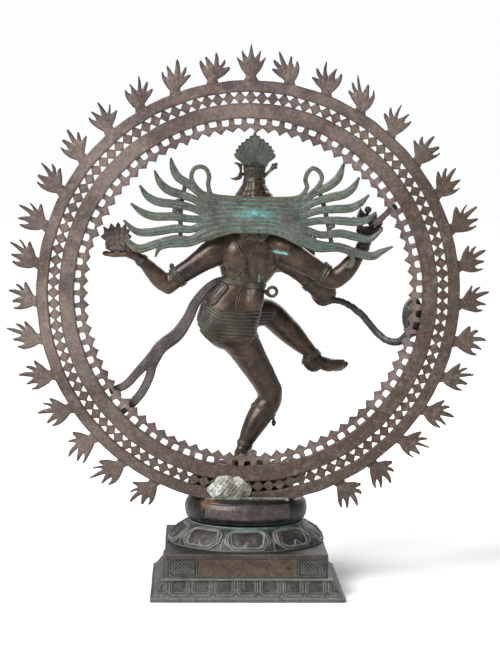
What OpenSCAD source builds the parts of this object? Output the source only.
// Dancing figure in a flaming ring on a two-tier lotus pedestal, cast bronze.
// Frame: +Z up, origin under the middle of the pedestal, the figure faces -Y.
// +X is the figure's own left. All sizes are millimetres.

/* [Pedestal] */
// Width of the lower plinth at its foot
plinth_w = 350; // [320:5:400]
// Depth of the lower plinth at its foot
plinth_d = 280; // [260:5:320]
// Height of the lower plinth casting
plinth_h = 76; // [70:1:90]
// Wall of the hollow plinth casting
plinth_wall = 9; // [6:1:14]
// Thickness of the slab that carries the lotus
slab_t = 10; // [8:1:14]
// Height of the downturned lotus bell
bell_h = 40; // [36:1:44]
// Height of the cushion above the bell
cushion_h = 46; // [42:1:50]

/* [Ring] */
// Outer radius of the plain outer band
ring_r = 385; // [385:1:388]
// Height of the ring's centre above the floor
ring_z = 548; // [546:1:550]
// Depth position of the ring's middle plane
ring_y = 45; // [42:1:50]
// Thickness of the two plain bands
band_t = 12; // [8:1:14]
// Thickness of the openwork between the bands
openwork_t = 8; // [5:1:10]
// Number of diamonds in the lattice
lattice_n = 112; // [96:2:120]
// Number of teeth and of square holes in the inner border
tooth_n = 86; // [72:2:92]
// Flames on each side of the top flame
flames_side = 15; // [12:1:15]
// Angle from one flame to the next
flame_pitch = 10.25; // [10:0.05:10.4]
// Thickness of a flame
flame_t = 7; // [5:1:9]

/* [Hair fan] */
// Depth position of the hair fan's middle plane
hair_y = 32; // [31:1:33]
// Half thickness of a hair lock
lock_t = 4; // [3:0.5:5]
// Half width of a hair lock
lock_w = 7.5; // [6:0.5:8]
// Shank radius of the rivet that holds the hair fan
rivet_r = 4; // [3:0.5:5]

/* [Hidden] */

plinth_brown = [0.24, 0.25, 0.23];
ring_brown = [0.42, 0.36, 0.32];
skin_brown = [0.27, 0.20, 0.16];
hair_green = [0.34, 0.40, 0.36];
trim_green = [0.30, 0.30, 0.25];
mortar_grey = [0.72, 0.72, 0.66];

// Heights of the pedestal's tiers
slab_z = plinth_h + slab_t;
bell_z = slab_z + bell_h;
cushion_z = bell_z + cushion_h;
// The ring's tiers, from outside in, as fractions of its outer radius
outer_in = ring_r * 0.945;
lattice_mid = ring_r * 0.920;
middle_out = ring_r * 0.895;
middle_in = ring_r * 0.822;
hole_in = ring_r * 0.795;
tooth_valley = ring_r * 0.779;
tooth_tip = ring_r * 0.756;
seam = 0.2;
dowel_r = 5;
big = 1000;

// ---- helpers -------------------------------------------------------------

function polar(r, a) = [r * cos(a), r * sin(a)];
function unit(v) = v / norm(v);
function place(s) = [s[0], s[1], s[2]];

// Smooth curve through hand-set stations, k steps between one station and the next
function ease(a, b, c, d, t) =
    0.5 * (2 * b + (c - a) * t + (2 * a - 5 * b + 4 * c - d) * t * t
    + (3 * b - a - 3 * c + d) * t * t * t);
function flow(s, k) = [
    for (i = [0:len(s) - 2])
        for (j = [0:k - 1])
            ease(s[max(i - 1, 0)], s[i], s[i + 1], s[min(i + 2, len(s) - 1)], j / k),
    s[len(s) - 1]
];
function heading(s, i) = unit(place(s[min(i + 1, len(s) - 1)]) - place(s[max(i - 1, 0)]));

// A closed skin over stations [x, y, z, half width, half depth].
// The half depth lies nearest to Y, the half width across the run.
module skin(stations, k = 2, n = 10) {
    s = flow(stations, k);
    m = len(s);
    points = [
        for (i = [0:m - 1])
            let (t = heading(s, i), u = unit(cross([0, 1, 0], t)), w = cross(t, u))
                for (j = [0:n - 1])
                    place(s[i]) + u * s[i][3] * cos(360 * j / n) + w * s[i][4] * sin(360 * j / n)
    ];
    sides = [
        for (i = [0:m - 2])
            for (j = [0:n - 1])
                [i * n + j, (i + 1) * n + j, (i + 1) * n + (j + 1) % n, i * n + (j + 1) % n]
    ];
    ends = [[for (j = [0:n - 1]) j], [for (j = [n - 1:-1:0]) (m - 1) * n + j]];
    polyhedron(points = points, faces = concat(sides, ends), convexity = 6);
}

// Joins or trims free-form masses into one surface, at their own size
module one_skin() {
    resize([0, 0, 0]) children();
}

module trimmed_by_first() {
    one_skin() difference() {
        union() children([1:$children - 1]);
        children(0);
    }
}

module bead(p, r, n = 8) {
    translate(p) sphere(r, $fn = n);
}

// A finger, toe or other round-ended rod between two points
module digit(a, b, ra, rb, n = 8) {
    hull() {
        bead(a, ra, n);
        bead(b, rb, n);
    }
}

// Stands an outline drawn in X and Z upright, centred on depth y
module upright(y, t) {
    translate([0, y + t / 2, 0]) rotate([90, 0, 0]) linear_extrude(t) children();
}

// Oval tier of the pedestal from profile points [half width, half depth, z]
module oval_tier(profile, n = 40) {
    skin([for (p = profile) [0, 0, p[2], p[0], p[1]]], 1, n);
}

// ---- pedestal ------------------------------------------------------------

// Sloping tier of the plinth, set in by the same amount on every side
module sloping_tier(w, d, z, h, set_in) {
    hull() {
        translate([-w / 2, -d / 2, z]) cube([w, d, 1]);
        translate([-w / 2 + set_in, -d / 2 + set_in, z + h - 1])
            cube([w - 2 * set_in, d - 2 * set_in, 1]);
    }
}

module dowel_places() {
    for (x = [-100, 100])
        for (y = [-90, 90])
            translate([x, y, 0]) children();
}

// Block of the plinth's width and depth less a margin all round, from height z
module plinth_block(margin, z, h) {
    translate([-plinth_w / 2 + margin, -plinth_d / 2 + margin, z])
        cube([plinth_w - 2 * margin, plinth_d - 2 * margin, h]);
}

module base_plinth() {
    foot_h = 9;
    petal_h = 25;
    bead_h = 5;
    bead_in = 20;
    frieze_in = 29;
    frieze_z = foot_h + petal_h + bead_h;
    color(plinth_brown) difference() {
        union() {
            plinth_block(0, 0, foot_h);
            sloping_tier(plinth_w - 8, plinth_d - 8, foot_h, petal_h, 18);
            plinth_block(bead_in, foot_h + petal_h, bead_h);
            plinth_block(frieze_in, frieze_z, plinth_h - frieze_z);
        }
        plinth_block(frieze_in + plinth_wall, -1, plinth_h - plinth_wall + 1);
        dowel_places() translate([0, 0, plinth_h - plinth_wall - 1])
            cylinder(r = dowel_r, h = plinth_wall + 2, $fn = 32);
    }
}

// Flat slab, set a little to the figure's left of the plinth's middle
module pedestal_slab() {
    slab_w = 294;
    slab_d = 264;
    slab_x = 3;
    color(plinth_brown) difference() {
        translate([slab_x - slab_w / 2, -slab_d / 2, plinth_h + seam])
            cube([slab_w, slab_d, slab_t - seam]);
        dowel_places() translate([0, 0, plinth_h - 1]) cylinder(r = dowel_r, h = slab_t - 1, $fn = 32);
    }
}

// Dowels that key the slab on the plinth
module pedestal_dowels() {
    color(trim_green) dowel_places() translate([0, 0, plinth_h - plinth_wall - 8])
        cylinder(r = dowel_r - 0.1, h = plinth_wall + slab_t + 6, $fn = 32);
}

module lotus_bell() {
    color(plinth_brown) oval_tier([
        [144, 120, slab_z], [144, 120, slab_z + 3], [139, 115, slab_z + 12],
        [130, 107, slab_z + 22], [118, 97, slab_z + 30], [108, 89, slab_z + 34],
        [108, 89, bell_z - 2], [104, 86, bell_z]
    ]);
}

module ring_slot() {
    translate([0, ring_y + band_t / 2 + seam, ring_z]) rotate([90, 0, 0])
        cylinder(r = ring_r + seam, h = band_t + 2 * seam, $fn = 240);
}

module back_plate_block() {
    plate_w = 156;
    plate_h = 28;
    translate([-plate_w / 2, 60, bell_z + 12]) cube([plate_w, 40, plate_h]);
}

module cushion_shape(grow = 0) {
    oval_tier([
        [100 + grow, 81 + grow, bell_z], [108 + grow, 88 + grow, bell_z + 5],
        [113 + grow, 92 + grow, bell_z + 14], [114 + grow, 93 + grow, bell_z + 24],
        [112 + grow, 91 + grow, bell_z + 34], [106 + grow, 85 + grow, bell_z + 42],
        [98 + grow, 77 + grow, cushion_z]
    ]);
}

module lotus_cushion() {
    color(plinth_brown) one_skin() difference() {
        cushion_shape();
        ring_slot();
        tenon_pair(seam);
    }
}

// Smooth repair plate let onto the back of the cushion
module cushion_back_plate() {
    color(plinth_brown) one_skin() difference() {
        intersection() {
            cushion_shape(3);
            back_plate_block();
        }
        cushion_shape(seam);
    }
}

module ring_foot_ledge() {
    color(mortar_grey) one_skin() difference() {
        union() {
            for (side = [-1, 1])
                skin([
                    [-72, ring_y + side * 11, cushion_z + 1, 5, 4],
                    [0, ring_y + side * 11, cushion_z + 1, 6, 5],
                    [72, ring_y + side * 11, cushion_z + 1, 4, 4]
                ], 2, 6);
        }
        cushion_shape(seam);
        ring_slot();
    }
}

// Repair mortar packed over the openwork just above the cushion
module ring_mortar() {
    color(mortar_grey) one_skin() difference() {
        union() {
            digit([58, ring_y + 4, 190], [30, ring_y + 4, 194], 12, 15);
            digit([30, ring_y + 4, 194], [8, ring_y + 4, 196], 15, 12);
        }
        ring_slot();
        translate([-100, -big, 0]) cube([200, big + ring_y + band_t / 2 + seam, 400]);
    }
}

module tenon_pair(gap = 0) {
    for (x = [-50, 50])
        translate([x - 10 - gap, ring_y - 4 - gap, cushion_z - 34])
            cube([20 + 2 * gap, 8 + 2 * gap, 30]);
}

// Tongues under the outer band that sit in mortises in the cushion
module ring_tenons() {
    color(ring_brown) difference() {
        tenon_pair();
        ring_slot();
    }
}

// ---- dwarf ---------------------------------------------------------------

module dwarf_head_shape() {
    bead([-84, -8, 214], 25, 18);
}

module foot_cut() {
    skin(standing_foot_stations(1), 2, 10);
}

module dwarf_body() {
    color(skin_brown) one_skin() difference() {
        union() {
            skin([
                [-60, -8, 203, 24, 24], [-30, -12, 202, 34, 34], [10, -14, 200, 33, 34],
                [50, -12, 200, 32, 32], [80, -10, 196, 24, 26], [98, -10, 190, 12, 14]
            ], 2, 14);
            digit([60, -50, 186], [96, -34, 186], 14, 12);
            digit([60, 14, 186], [96, 10, 188], 14, 12);
            digit([-30, -46, 186], [-66, -58, 184], 11, 9);
            digit([-40, 14, 186], [-78, 22, 184], 11, 9);
        }
        dwarf_head_shape();
        foot_cut();
        translate([-big, -big, cushion_z - big + seam]) cube([2 * big, 2 * big, big]);
    }
}

module dwarf_head() {
    color(skin_brown) one_skin() difference() {
        union() {
            dwarf_head_shape();
            digit([-84, -34, 212], [-84, -28, 204], 5, 8);
            digit([-78, 16, 214], [-78, 18, 206], 5, 5);
        }
        translate([-big, -big, cushion_z - big + seam]) cube([2 * big, 2 * big, big]);
    }
}

// ---- ring ----------------------------------------------------------------

module on_ring(t) {
    translate([0, ring_y + t / 2, ring_z]) rotate([90, 0, 0]) linear_extrude(t) children();
}

module band(r_out, r_in) {
    translate([0, ring_y + band_t / 2, ring_z]) rotate([90, 0, 0]) difference() {
        cylinder(r = r_out, h = band_t, $fn = 240);
        translate([0, 0, -1]) cylinder(r = r_in, h = band_t + 2, $fn = 240);
    }
}

// A flat ring between two outlines
module between(outer, inner) {
    n = len(outer);
    m = len(inner);
    polygon(concat(outer, inner), [[for (i = [0:n - 1]) i], [for (i = [0:m - 1]) n + i]]);
}

module ring_outer_band() {
    color(ring_brown) band(ring_r, outer_in);
}

module ring_middle_band() {
    color(ring_brown) band(middle_out, middle_in);
}

// Diamonds joined corner to corner between the outer and the middle band
module ring_lattice() {
    pitch = 360 / lattice_n;
    outer_tip = 0.32;
    inner_tip = 0.30;
    neck = 2;
    color(ring_brown) on_ring(openwork_t) between(
        [for (i = [0:lattice_n - 1]) each [
            polar(outer_in, i * pitch - outer_tip), polar(outer_in, i * pitch + outer_tip),
            polar(lattice_mid + neck, (i + 0.5) * pitch)]],
        [for (i = [0:lattice_n - 1]) each [
            polar(middle_out, i * pitch - inner_tip), polar(middle_out, i * pitch + inner_tip),
            polar(lattice_mid - neck, (i + 0.5) * pitch)]]
    );
}

// Posts and square holes outside, pointed teeth inside
module ring_toothed_border() {
    pitch = 360 / tooth_n;
    post = 0.85;
    color(ring_brown) on_ring(openwork_t) between(
        [for (i = [0:tooth_n - 1]) each [
            polar(middle_in, i * pitch - post), polar(middle_in, i * pitch + post),
            polar(hole_in, i * pitch + post), polar(hole_in, (i + 1) * pitch - post)]],
        [for (i = [0:tooth_n - 1]) each [
            polar(tooth_tip, i * pitch), polar(tooth_valley, (i + 0.5) * pitch)]]
    );
}

// A hand-like flame that leans toward the top of the ring, drawn above the band's edge
module flame_outline() {
    polygon([
        [11, -0.3], [8, 7], [13, 14], [14, 23], [12, 43], [9, 43], [5, 32], [1, 48], [-3, 48],
        [-8, 32], [-19, 53], [-23, 54], [-19, 29], [-30, 38], [-33, 36], [-23, 23], [-34, 22],
        [-35, 19], [-22, 13], [-9, 5], [-8, -0.2]
    ]);
}

module flames(side) {
    for (i = [1:flames_side])
        translate([0, ring_y, ring_z]) rotate([0, side * i * flame_pitch, 0])
            translate([0, flame_t / 2, ring_r]) mirror([side < 0 ? 1 : 0, 0, 0])
                rotate([90, 0, 0]) linear_extrude(flame_t) flame_outline();
}

module ring_flames_left() {
    color(ring_brown) flames(1);
}

module ring_flames_right() {
    color(ring_brown) flames(-1);
}

module ring_top_flame() {
    half = [[14, -0.3], [9, 8], [18, 20], [27, 42], [15, 33], [18, 55], [6, 40]];
    tip = 67;
    color(ring_brown) translate([0, 0, ring_z + ring_r]) upright(ring_y, flame_t)
        polygon(concat(half, [[0, tip]], [for (i = [6:-1:0]) [-half[i][0], half[i][1]]]));
}

// ---- figure --------------------------------------------------------------

module torso_shape() {
    skin([
        [42, 2, 458, 22, 24], [40, 4, 478, 46, 38], [35, 2, 505, 54, 42], [28, -2, 531, 49, 36],
        [10, -4, 560, 38, 28], [4, -6, 590, 50, 32], [-2, -4, 618, 61, 34], [-6, -2, 644, 52, 28],
        [-8, 0, 658, 26, 20], [-9, 0, 670, 16, 15]
    ], 2, 18);
}

module torso() {
    color(skin_brown) torso_shape();
}

module head_shape() {
    skin([
        [-9, -1, 668, 17, 16], [-9, -8, 676, 22, 26], [-9, -10, 692, 30, 34],
        [-9, -9, 714, 34, 36], [-9, -6, 736, 29, 31], [-9, -3, 750, 21, 22]
    ], 2, 14);
}

module head() {
    color(skin_brown) trimmed_by_first() {
        torso_shape();
        head_shape();
        digit([-9, -44, 702], [-9, -42, 696], 3.5, 5);
    }
}

crown_x = -9.5;
crown_y = -2;
crown_low = 750.2;
crown_top = 778.2;
crown_r = 22;
peg_r = 4.8;
peg_h = 8;

// Round band with a rim at both ends and a socket for the fan's peg
module crown_band() {
    h = crown_top - crown_low;
    waist = crown_r - 3;
    color(skin_brown) difference() {
        translate([crown_x, crown_y, crown_low]) rotate_extrude($fn = 64) polygon([
            [0, 0], [crown_r - 1, 0], [crown_r, 4], [waist, 6], [waist, h - 7],
            [crown_r, h - 5], [crown_r - 1, h], [0, h]
        ]);
        translate([crown_x, crown_y, crown_top - peg_h - seam])
            cylinder(r = peg_r + seam, h = 2 * peg_h, $fn = 32);
    }
}

// Feathered fan that rises from the crown band and leans back to the ring
module crown_fan() {
    steps = [
        [17, 0], [28, 14], [37, 22], [36, 30], [31, 31], [31, 39], [25, 40], [24, 47], [17, 49],
        [15, 57], [8, 58], [5, 66]
    ];
    n = len(steps);
    lean = 27;
    fan_t = 8;
    color(hair_green) {
        translate([crown_x, crown_y + 5, crown_top + seam]) rotate([-lean, 0, 0]) upright(0, fan_t)
            polygon(concat(steps, [for (i = [n - 1:-1:0]) [-steps[i][0], steps[i][1]]]));
        translate([crown_x, crown_y, crown_top - peg_h]) cylinder(r = peg_r, h = peg_h + 1, $fn = 32);
    }
}

module crescent_moon() {
    moon_r = 16;
    bite_r = 15;
    color(skin_brown) upright(-2, 5) difference() {
        translate([26, 771]) circle(r = moon_r, $fn = 64);
        translate([35, 772]) circle(r = bite_r, $fn = 64);
        translate([crown_x, crown_low]) square([crown_r + seam, 2 * moon_r]);
    }
}

module datura_flower() {
    color(hair_green) translate([-30, 2, 762]) rotate([0, -42, 0]) {
        cylinder(r1 = 2.6, r2 = 4.5, h = 20, $fn = 32);
        translate([0, 0, 20]) cylinder(r = 6.5, h = 4, $fn = 32);
        translate([0, 0, 26]) sphere(r = 4, $fn = 32);
    }
}

module ear_ornaments() {
    color(trim_green) {
        translate([30, -4, 678]) rotate([0, 90, 0]) difference() {
            cylinder(r = 11, h = 6, $fn = 48);
            translate([0, 0, -1]) cylinder(r = 5, h = 8, $fn = 48);
        }
        translate([-54, -4, 676]) rotate([0, 90, 0]) cylinder(r = 8, h = 6, $fn = 48);
    }
}

// ---- hair ----------------------------------------------------------------

loop_w = 4.5;
curl_w = 5;

module rivet_place() {
    translate([-10, 0, 694]) rotate([90, 0, 0]) children();
}

module hair_band_outline() {
    polygon([
        [88, 646], [88, 712], [70, 724], [40, 725], [0, 723], [-50, 723], [-80, 726], [-94, 716],
        [-104, 700], [-104, 642], [-88, 634], [-60, 650], [-30, 657], [9, 658], [40, 656], [66, 648]
    ]);
}

// The space the middle of the fan takes out of the locks on either side
module hair_band_space() {
    upright(hair_y, 4 * lock_t) offset(delta = seam) hair_band_outline();
}

// The plain middle of the fan, with a hole for its rivet
module hair_band() {
    color(hair_green) difference() {
        upright(hair_y, 2 * lock_t) hair_band_outline();
        rivet_place() translate([0, 0, -hair_y - 2 * lock_t])
            cylinder(r = rivet_r + 0.1, h = 4 * lock_t, $fn = 32);
    }
}

module hair_rivet() {
    color(hair_green) {
        rivet_place() translate([0, 0, -hair_y - lock_t - 0.5])
            cylinder(r = rivet_r, h = 2 * lock_t + 6, $fn = 32);
        rivet_place() translate([0, 0, -hair_y - lock_t - 3.5]) cylinder(r1 = 6, r2 = 9, h = 3, $fn = 32);
    }
}

// One lock of hair through points [x, z], w half wide until its thin tip
module lock(points, w = lock_w) {
    last = len(points) - 1;
    skin([for (i = [0:last])
        [points[i][0], hair_y, points[i][1], i == last ? 2.5 : w, i == last ? 2 : lock_t]], 2, 6);
}

module hair_locks_left() {
    color(hair_green) trimmed_by_first() {
        hair_band_space();
        lock([[78, 708], [93, 729], [111, 746], [130, 759], [139, 774], [143, 791]]);
        lock([[78, 704], [102, 719], [125, 727], [148, 735], [163, 749], [172, 768]]);
        lock([[80, 694], [102, 702], [131, 709], [165, 713], [186, 724], [198, 741]]);
        lock([[80, 684], [108, 683], [136, 687], [173, 687], [196, 695], [214, 709]]);
        lock([[80, 672], [106, 666], [135, 665], [181, 658], [206, 661], [227, 678]]);
        lock([[80, 656], [106, 646], [135, 645], [164, 639], [200, 629], [221, 641], [230, 651]]);
        lock([[128, 640], [150, 634], [164, 629], [170, 617]], curl_w);
        lock([[86, 718], [104, 742], [108, 758], [102, 773], [90, 778], [78, 773], [74, 758],
            [76, 744], [70, 730], [60, 722]], loop_w);
    }
}

module hair_locks_right() {
    color(hair_green) trimmed_by_first() {
        hair_band_space();
        lock([[-92, 715], [-118, 732], [-143, 744], [-159, 757], [-165, 769], [-170, 784]]);
        lock([[-95, 704], [-118, 715], [-147, 724], [-172, 730], [-189, 743], [-198, 759]]);
        lock([[-96, 692], [-126, 700], [-156, 703], [-183, 705], [-202, 714], [-216, 728]]);
        lock([[-96, 676], [-131, 682], [-164, 682], [-194, 680], [-213, 684], [-230, 697]]);
        lock([[-96, 664], [-131, 657], [-165, 659], [-194, 653], [-220, 650], [-242, 666]]);
        lock([[-92, 650], [-127, 637], [-165, 634], [-195, 624], [-224, 618], [-241, 626], [-261, 635]]);
        lock([[-178, 630], [-190, 614], [-186, 600], [-173, 598]], curl_w);
        lock([[-100, 714], [-122, 742], [-130, 758], [-127, 770], [-115, 777], [-105, 771],
            [-101, 757], [-104, 742], [-96, 730], [-86, 720]], loop_w);
    }
}

// Cross bars that tie the spread locks together, with a small boss on each
module hair_ties() {
    tie_y = hair_y - 6;
    boss_y = hair_y - 4;
    color(hair_green) one_skin() difference() {
        union() {
            skin([[120, tie_y, 738, 4, 3], [126, tie_y, 700, 4, 3], [125, tie_y, 640, 4, 3]], 2, 8);
            skin([[-122, tie_y, 738, 4, 3], [-138, tie_y, 700, 4, 3], [-152, tie_y, 632, 4, 3]], 2, 8);
            bead([131, boss_y, 713], 6);
            bead([135, boss_y, 698], 5);
            bead([-147, boss_y, 672], 5);
        }
        translate([-big, hair_y - lock_t + seam, 0]) cube([2 * big, big, big]);
    }
}

// ---- arms ----------------------------------------------------------------

module rear_left_arm_shape() {
    skin([
        [44, 2, 634, 22, 22], [66, 8, 620, 25, 23], [98, 12, 598, 20, 19], [128, 13, 578, 18, 17],
        [146, 13, 562, 18, 17], [160, 13, 570, 17, 16], [180, 13, 589, 13, 13], [202, 12, 612, 9, 9]
    ], 2, 12);
}

module rear_right_arm_shape() {
    skin([
        [-50, 2, 636, 22, 22], [-72, 8, 624, 25, 23], [-104, 12, 604, 21, 20], [-134, 13, 586, 19, 18],
        [-156, 13, 574, 19, 18], [-172, 13, 584, 18, 17], [-192, 12, 607, 15, 14], [-214, 8, 640, 10, 10]
    ], 2, 12);
}

module front_right_arm_shape() {
    skin([
        [-44, -20, 620, 20, 18], [-64, -26, 607, 21, 20], [-100, -33, 585, 20, 19],
        [-128, -37, 560, 20, 19], [-146, -44, 545, 21, 19], [-142, -58, 560, 16, 16],
        [-130, -72, 586, 12, 12], [-120, -80, 606, 9, 9]
    ], 2, 12);
}

module front_left_arm_shape() {
    skin([
        [40, -18, 624, 20, 18], [42, -40, 610, 21, 19], [26, -68, 598, 18, 17], [-2, -86, 592, 16, 16],
        [-40, -98, 592, 14, 14], [-80, -104, 592, 12, 12], [-112, -106, 592, 9, 9]
    ], 2, 12);
}

module rear_left_arm() {
    color(skin_brown) trimmed_by_first() {
        torso_shape();
        rear_left_arm_shape();
    }
}

module rear_right_arm() {
    color(skin_brown) trimmed_by_first() {
        torso_shape();
        rear_right_arm_shape();
    }
}

module front_right_arm() {
    color(skin_brown) trimmed_by_first() {
        union() {
            torso_shape();
            rear_right_arm_shape();
        }
        front_right_arm_shape();
    }
}

module front_left_arm() {
    color(skin_brown) trimmed_by_first() {
        union() {
            torso_shape();
            rear_left_arm_shape();
        }
        front_left_arm_shape();
    }
}

// Palm up, carrying the flame
module flame_hand() {
    color(skin_brown) trimmed_by_first() {
        rear_left_arm_shape();
        hull() {
            bead([206, 12, 615], 8);
            bead([222, 4, 618], 7);
            bead([222, 20, 618], 7);
        }
        for (i = [0:3])
            digit([226, -2 + 8 * i, 618], [262 - 2 * i, -4 + 8 * i, 616 + i], 5, 4);
        digit([212, 0, 620], [226, -12, 634], 5, 4);
    }
}

module hand_flame() {
    color(hair_green) upright(14, 12) polygon([
        [222, 624], [216, 640], [222, 646], [218, 660], [225, 656], [228, 673], [236, 660],
        [243, 676], [247, 662], [262, 676], [258, 658], [268, 654], [259, 646], [262, 636],
        [250, 624]
    ]);
}

module drum_hand() {
    color(skin_brown) trimmed_by_first() {
        union() {
            rear_right_arm_shape();
            drum_shape();
        }
        hull() {
            bead([-216, 8, 645], 9);
            bead([-212, 10, 662], 10);
            bead([-226, 10, 662], 10);
        }
        digit([-206, 6, 668], [-196, -6, 680], 5, 4);
        digit([-226, 4, 668], [-234, -12, 684], 5, 4);
        digit([-232, 10, 668], [-242, -2, 676], 4, 3.5);
        digit([-228, 14, 668], [-238, 10, 682], 4, 3.5);
        digit([-212, 2, 658], [-204, -18, 668], 5, 4);
    }
}

module drum_shape() {
    translate([-217, -9, 686]) rotate([0, 70, 0]) rotate_extrude($fn = 48)
        polygon([[0, -17], [13, -17], [14, -13], [7, 0], [14, 13], [13, 17], [0, 17]]);
}

module hand_drum() {
    color(trim_green) {
        drum_shape();
        translate([-219, 4, 702]) sphere(r = 7, $fn = 32);
    }
}

// Strut that ties the drum hand to the ring
module drum_strut() {
    color(ring_brown) trimmed_by_first() {
        union() {
            drum_shape();
            for (x = [-238, -242])
                bead([x, 4, 680], 9);
        }
        skin([[-236, 12, 680, 6, 5], [-250, 24, 694, 6, 5], [-262, 36, 707, 7, 5]], 2, 8);
    }
}

// Raised palm of the front right hand
module blessing_hand() {
    color(skin_brown) trimmed_by_first() {
        front_right_arm_shape();
        hull() {
            bead([-119, -81, 609], 8);
            bead([-124, -85, 628], 7);
            bead([-106, -85, 628], 7);
        }
        for (i = [0:3])
            digit([-126 + 7 * i, -86, 632], [-128 + 8 * i, -88, 656 - abs(i - 1.4) * 3], 4.5, 3.6);
        digit([-106, -84, 620], [-96, -88, 638], 4.5, 3.6);
    }
}

// Drooping hand of the front left arm
module pointing_hand() {
    color(skin_brown) trimmed_by_first() {
        front_left_arm_shape();
        hull() {
            bead([-114, -106, 592], 8);
            bead([-132, -100, 584], 7);
            bead([-132, -112, 584], 7);
        }
        for (i = [0:3])
            digit([-134, -98 - 6 * i, 582], [-146, -96 - 6 * i, 552 + 4 * i], 4.5, 3.6);
        digit([-124, -96, 586], [-126, -90, 566], 4.5, 3.6);
    }
}

// A hoop round a limb: place, heading as [about X, about Y], radius, width
module hoop(p, turn, r, w, t = 3) {
    translate(p) rotate([turn[0], turn[1], 0]) rotate_extrude($fn = 24)
        translate([r - 4, -w / 2]) square([t + 4, w]);
}

module armlets() {
    color(trim_green) {
        trimmed_by_first() {
            rear_left_arm_shape();
            hoop([124, 13, 581], [0, 128], 18, 11);
        }
        trimmed_by_first() {
            rear_right_arm_shape();
            hoop([-132, 13, 587], [0, -124], 19, 11);
        }
        trimmed_by_first() {
            front_right_arm_shape();
            hoop([-122, -36, 566], [0, -132], 20, 9);
        }
        trimmed_by_first() {
            front_left_arm_shape();
            hoop([-20, -92, 592], [0, 97], 15.5, 8);
        }
    }
}

module bracelets() {
    color(trim_green) {
        trimmed_by_first() {
            rear_left_arm_shape();
            hoop([197, 12, 606], [0, 44], 9.5, 7);
        }
        trimmed_by_first() {
            rear_right_arm_shape();
            hoop([-210, 9, 633], [0, -34], 10.5, 7);
        }
        trimmed_by_first() {
            front_right_arm_shape();
            hoop([-123, -78, 600], [22, 22], 9.5, 7);
        }
        trimmed_by_first() {
            front_left_arm_shape();
            hoop([-100, -106, 592], [0, 90], 9.5, 7);
        }
    }
}

// Snake hung over the front right forearm, with its hood against the ring
module snake() {
    color(trim_green) trimmed_by_first() {
        union() {
            front_right_arm_shape();
            rear_right_arm_shape();
        }
        skin([
            [-118, -74, 566, 4, 4], [-126, -54, 538, 5, 5], [-140, -40, 526, 5, 5],
            [-161, -36, 532, 5.5, 5], [-184, -30, 528, 5.5, 5], [-210, -20, 509, 6, 5],
            [-228, -10, 488, 6, 5], [-245, 0, 470, 6, 5], [-262, 11, 460, 6, 5],
            [-281, 21, 462, 8, 5], [-295, 28, 476, 13, 5], [-302, 32, 498, 19, 5],
            [-302, 33, 522, 19, 5], [-304, 32, 538, 11, 4], [-305, 31, 544, 4, 3]
        ], 2, 8);
    }
}

// ---- legs ----------------------------------------------------------------

module standing_thigh_shape() {
    skin([
        [28, 0, 486, 34, 34], [16, -4, 462, 33, 33], [-8, -12, 424, 29, 30],
        [-30, -20, 388, 25, 26], [-43, -27, 362, 23, 24]
    ], 2, 14);
}

module standing_shin_shape() {
    skin([
        [-43, -27, 362, 23, 24], [-42, -28, 344, 23, 24], [-30, -25, 326, 24, 24],
        [-18, -19, 306, 22, 22], [-4, -12, 280, 17, 17], [8, -6, 254, 12, 13], [11, -5, 245, 12, 13]
    ], 2, 14);
}

function standing_foot_stations(extra = 0) = [
    [16, 14, 238, 8 + extra, 8 + extra], [11, 6, 240, 13 + extra, 12 + extra],
    [2, -20, 240, 13 + extra, 11 + extra], [-8, -48, 235, 15 + extra, 8 + extra],
    [-13, -66, 232, 13 + extra, 5 + extra]
];

module standing_thigh() {
    color(skin_brown) trimmed_by_first() {
        torso_shape();
        standing_thigh_shape();
    }
}

module standing_shin() {
    color(skin_brown) trimmed_by_first() {
        standing_thigh_shape();
        standing_shin_shape();
    }
}

module standing_foot() {
    color(skin_brown) trimmed_by_first() {
        standing_shin_shape();
        skin(standing_foot_stations(), 2, 10);
        for (i = [0:4])
            digit([-2 - 6 * i, -64 + 2 * i, 231], [-4 - 6 * i, -74 + 3 * i, 231], 4.5, 3.5);
    }
}

module knee_band() {
    color(trim_green) trimmed_by_first() {
        standing_shin_shape();
        hoop([-30, -25, 326], [0, 36], 24, 7, 2.5);
        translate([-51, -26, 304]) sphere(r = 5, $fn = 24);
        translate([-50, -26, 311]) cylinder(r = 2, h = 6, $fn = 24);
    }
}

module raised_thigh_shape() {
    skin([
        [62, -14, 498, 30, 30], [40, -40, 500, 34, 33], [8, -66, 504, 31, 31],
        [-20, -82, 506, 27, 27], [-38, -90, 505, 24, 24]
    ], 2, 14);
}

module raised_shin_shape() {
    skin([
        [-36, -89, 508, 23, 24], [-48, -91, 500, 25, 24], [-70, -92, 479, 24, 24],
        [-102, -93, 448, 19, 20], [-126, -93, 426, 13, 14], [-132, -93, 419, 12, 13]
    ], 2, 14);
}

module raised_thigh() {
    color(skin_brown) trimmed_by_first() {
        torso_shape();
        raised_thigh_shape();
    }
}

module raised_shin() {
    color(skin_brown) trimmed_by_first() {
        raised_thigh_shape();
        raised_shin_shape();
    }
}

module raised_foot() {
    color(skin_brown) trimmed_by_first() {
        raised_shin_shape();
        skin([
            [-119, -84, 412, 12, 9], [-130, -89, 411, 19, 12], [-149, -96, 408, 14, 13],
            [-167, -101, 405, 11, 15], [-180, -105, 403, 7.5, 14]
        ], 2, 10);
        for (i = [0:4])
            digit([-178 - 0.8 * i, -95 - 5 * i, 404], [-188 + 1.6 * i, -97 - 5.5 * i, 402],
                6 - 0.4 * i, 4);
    }
}

module anklets() {
    color(trim_green) one_skin() difference() {
        union() {
            hoop([-121, -93, 431], [0, -132], 14, 7, 2.5);
            hoop([4, -8, 262], [0, -22], 14, 6, 2.5);
        }
        raised_shin_shape();
        raised_thigh_shape();
        standing_shin_shape();
    }
}

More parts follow.
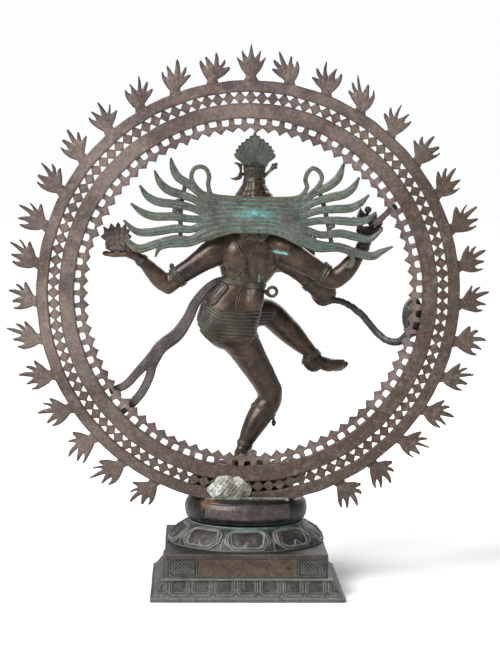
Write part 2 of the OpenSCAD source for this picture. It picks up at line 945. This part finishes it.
// ---- dress and ornaments -------------------------------------------------

// A shallow skin lying on the torso: the torso grown by g, kept between two heights
module torso_wrap(g, z_low, z_high, tilt) {
    one_skin() difference() {
        intersection() {
            skin([
                [42, 2, 458, 22 + g, 24 + g], [40, 4, 478, 46 + g, 38 + g],
                [35, 2, 505, 54 + g, 42 + g], [28, -2, 531, 49 + g, 36 + g],
                [10, -4, 560, 38 + g, 28 + g], [4, -6, 590, 50 + g, 32 + g]
            ], 2, 18);
            translate([10, 0, (z_low + z_high) / 2]) rotate([0, tilt, 0])
                cube([240, 200, z_high - z_low], center = true);
        }
        torso_shape();
        standing_thigh_shape();
        raised_thigh_shape();
    }
}

module waist_belt() {
    color(trim_green) torso_wrap(2.5, 558, 566, 8);
}

module hip_cloth() {
    color(trim_green) torso_wrap(2, 478, 524, 10);
}

module sacred_thread() {
    color(trim_green) trimmed_by_first() {
        torso_shape();
        skin([
            [34, 22, 648, 3, 3], [20, 28, 636, 4, 4], [8, 29, 620, 4, 4], [-2, 28, 600, 4, 4],
            [-10, 25, 578, 4, 4], [-24, 20, 566, 3, 3]
        ], 2, 6);
        skin([
            [6, 24, 570, 2.5, 3], [14, 30, 548, 2.5, 3], [20, 38, 524, 2.5, 3], [14, 42, 510, 2.5, 3],
            [0, 38, 508, 2.5, 3]
        ], 2, 6);
    }
}

module nape_rosette() {
    color(trim_green) one_skin() difference() {
        translate([-9, hair_y - lock_t - seam, 664]) rotate([90, 0, 0]) {
            cylinder(r = 29, h = 5, $fn = 48);
            cylinder(r = 12, h = 12, $fn = 32);
        }
        torso_shape();
        head_shape();
    }
}

module necklace() {
    color(trim_green) one_skin() difference() {
        translate([-8, -6, 646]) rotate([14, 0, 0]) rotate_extrude($fn = 48)
            translate([30, 0]) circle(r = 6, $fn = 16);
        torso_shape();
        rear_left_arm_shape();
        rear_right_arm_shape();
        front_left_arm_shape();
        front_right_arm_shape();
        translate([-big, 8, 0]) cube([2 * big, big, big]);
    }
}

// Loose end of the belt rolled into a small ring beside the waist
module belt_curl() {
    color(trim_green) {
        translate([-43, 9, 550]) rotate([90, 0, 0]) difference() {
            cylinder(r = 11.5, h = 6, $fn = 48);
            translate([0, 0, -1]) cylinder(r = 5.5, h = 8, $fn = 48);
        }
    }
}

// Ribbon that flies from the belt and forks before it meets the ring
module forked_sash() {
    color(trim_green) trimmed_by_first() {
        torso_shape();
        skin([
            [46, 6, 573, 5, 3], [60, 12, 568, 6, 3], [79, 17, 553, 8, 3], [98, 21, 528, 9, 3],
            [110, 23, 502, 10, 3], [130, 25, 472, 12, 3], [158, 28, 450, 12, 3], [176, 30, 428, 11, 3],
            [202, 32, 402, 8, 3], [224, 35, 378, 8, 3], [250, 36, 368, 7, 3]
        ], 2, 8);
        skin([
            [164, 29, 440, 9, 3], [176, 30, 418, 9, 3], [182, 31, 392, 8, 3], [194, 33, 364, 8, 3],
            [212, 35, 344, 8, 3], [229, 36, 330, 7, 3]
        ], 2, 8);
    }
}

base_plinth();
pedestal_slab();
pedestal_dowels();
lotus_bell();
lotus_cushion();
cushion_back_plate();
ring_foot_ledge();
ring_mortar();
ring_tenons();
dwarf_body();
dwarf_head();
ring_outer_band();
ring_lattice();
ring_middle_band();
ring_toothed_border();
ring_flames_left();
ring_flames_right();
ring_top_flame();
torso();
head();
crown_band();
crown_fan();
crescent_moon();
datura_flower();
ear_ornaments();
hair_band();
hair_locks_left();
hair_locks_right();
hair_ties();
hair_rivet();
rear_left_arm();
flame_hand();
hand_flame();
rear_right_arm();
drum_hand();
hand_drum();
drum_strut();
front_right_arm();
blessing_hand();
front_left_arm();
pointing_hand();
armlets();
bracelets();
snake();
standing_thigh();
standing_shin();
standing_foot();
knee_band();
raised_thigh();
raised_shin();
raised_foot();
anklets();
waist_belt();
hip_cloth();
sacred_thread();
nape_rosette();
necklace();
belt_curl();
forked_sash();
